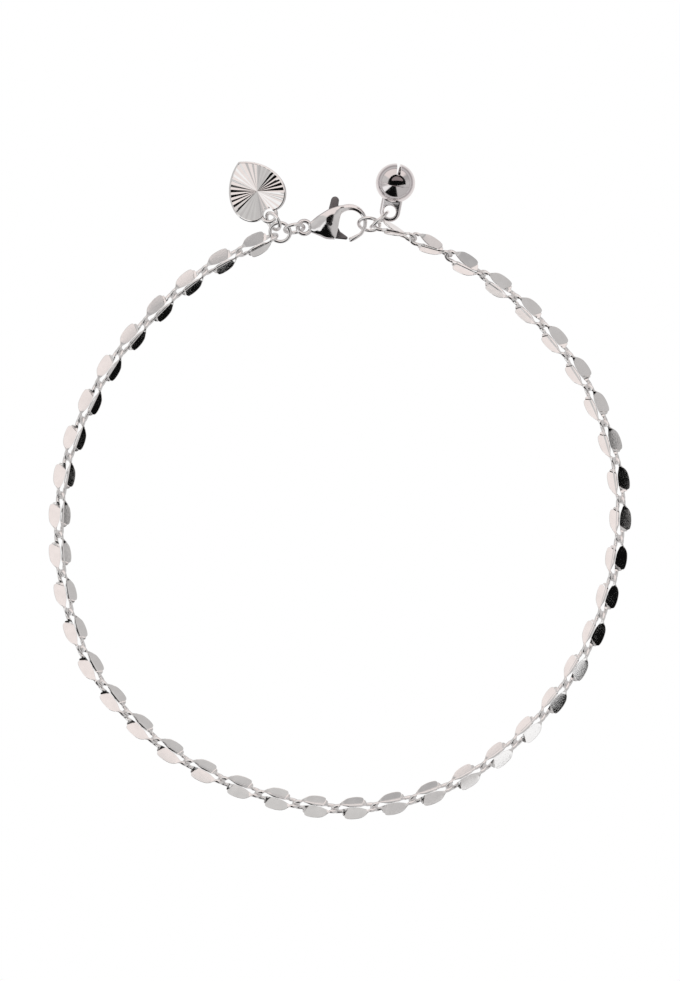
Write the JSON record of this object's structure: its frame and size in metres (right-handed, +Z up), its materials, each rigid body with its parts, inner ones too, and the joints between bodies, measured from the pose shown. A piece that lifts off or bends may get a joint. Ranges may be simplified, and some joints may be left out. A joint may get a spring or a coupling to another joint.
{
  "type": "ankle bracelet",
  "caption": "Silver chain ankle bracelet of twisted petal links, closed by a lobster clasp, with a ray-cut heart and a slit bell on jump rings.",
  "frame": {"origin": "on the table under the middle of the whole outline, bracelet lying flat in a ring", "axes": "+Z up from the table, +Y from the middle towards the clasp, +X to the bell's side"},
  "size_m": [0.0816, 0.0922, 0.0055],
  "materials": {
    "chain_silver": "polished silver, flat petals rolled bright",
    "ring_silver": "polished round silver wire",
    "heart_silver": "ray-cut silver with a plain polished rim",
    "bell_silver": "polished drawn silver",
    "clasp_silver": "polished cast silver",
    "lever_steel": "dark satin steel"
  },
  "bodies": {
    "bracelet": {"link_01": "chain_silver", "link_02": "chain_silver", "link_03": "chain_silver", "link_04": "chain_silver", "link_05": "chain_silver", "link_06": "chain_silver", "link_07": "chain_silver", "link_08": "chain_silver", "link_09": "chain_silver", "link_10": "chain_silver", "link_11": "chain_silver", "link_12": "chain_silver", "link_13": "chain_silver", "link_14": "chain_silver", "link_15": "chain_silver", "link_16": "chain_silver", "link_17": "chain_silver", "link_18": "chain_silver", "link_19": "chain_silver", "link_20": "chain_silver", "link_21": "chain_silver", "link_22": "chain_silver", "link_23": "chain_silver", "link_24": "chain_silver", "link_25": "chain_silver", "link_26": "chain_silver", "link_27": "chain_silver", "link_28": "chain_silver", "link_29": "chain_silver", "link_30": "chain_silver", "link_31": "chain_silver", "link_32": "chain_silver", "link_33": "chain_silver", "link_34": "chain_silver", "link_35": "chain_silver", "link_36": "chain_silver", "link_37": "chain_silver", "link_38": "chain_silver", "link_39": "chain_silver", "link_40": "chain_silver", "link_41": "chain_silver", "link_42": "chain_silver", "link_43": "chain_silver", "catch_ring": "ring_silver", "bell_ring": "ring_silver", "clasp_ring": "ring_silver", "chain_end_ring": "ring_silver", "heart_ring": "ring_silver", "heart_charm": "heart_silver", "bell": "bell_silver", "clasp_body": "clasp_silver", "clasp_pin": "clasp_silver"},
    "clasp_lever": {"clasp_lever": "lever_steel"}
  },
  "joints": [
    {"name": "lever_hinge", "type": "hinge", "parent": "bracelet", "child": "clasp_lever", "pos_m": [-0.00136, 0.0373, 0.00145], "axis": [0, 0, 1], "range_deg": [0, 25], "stiffness_Nm_per_rad": 0.002, "springref_deg": -11.46}
  ]
}
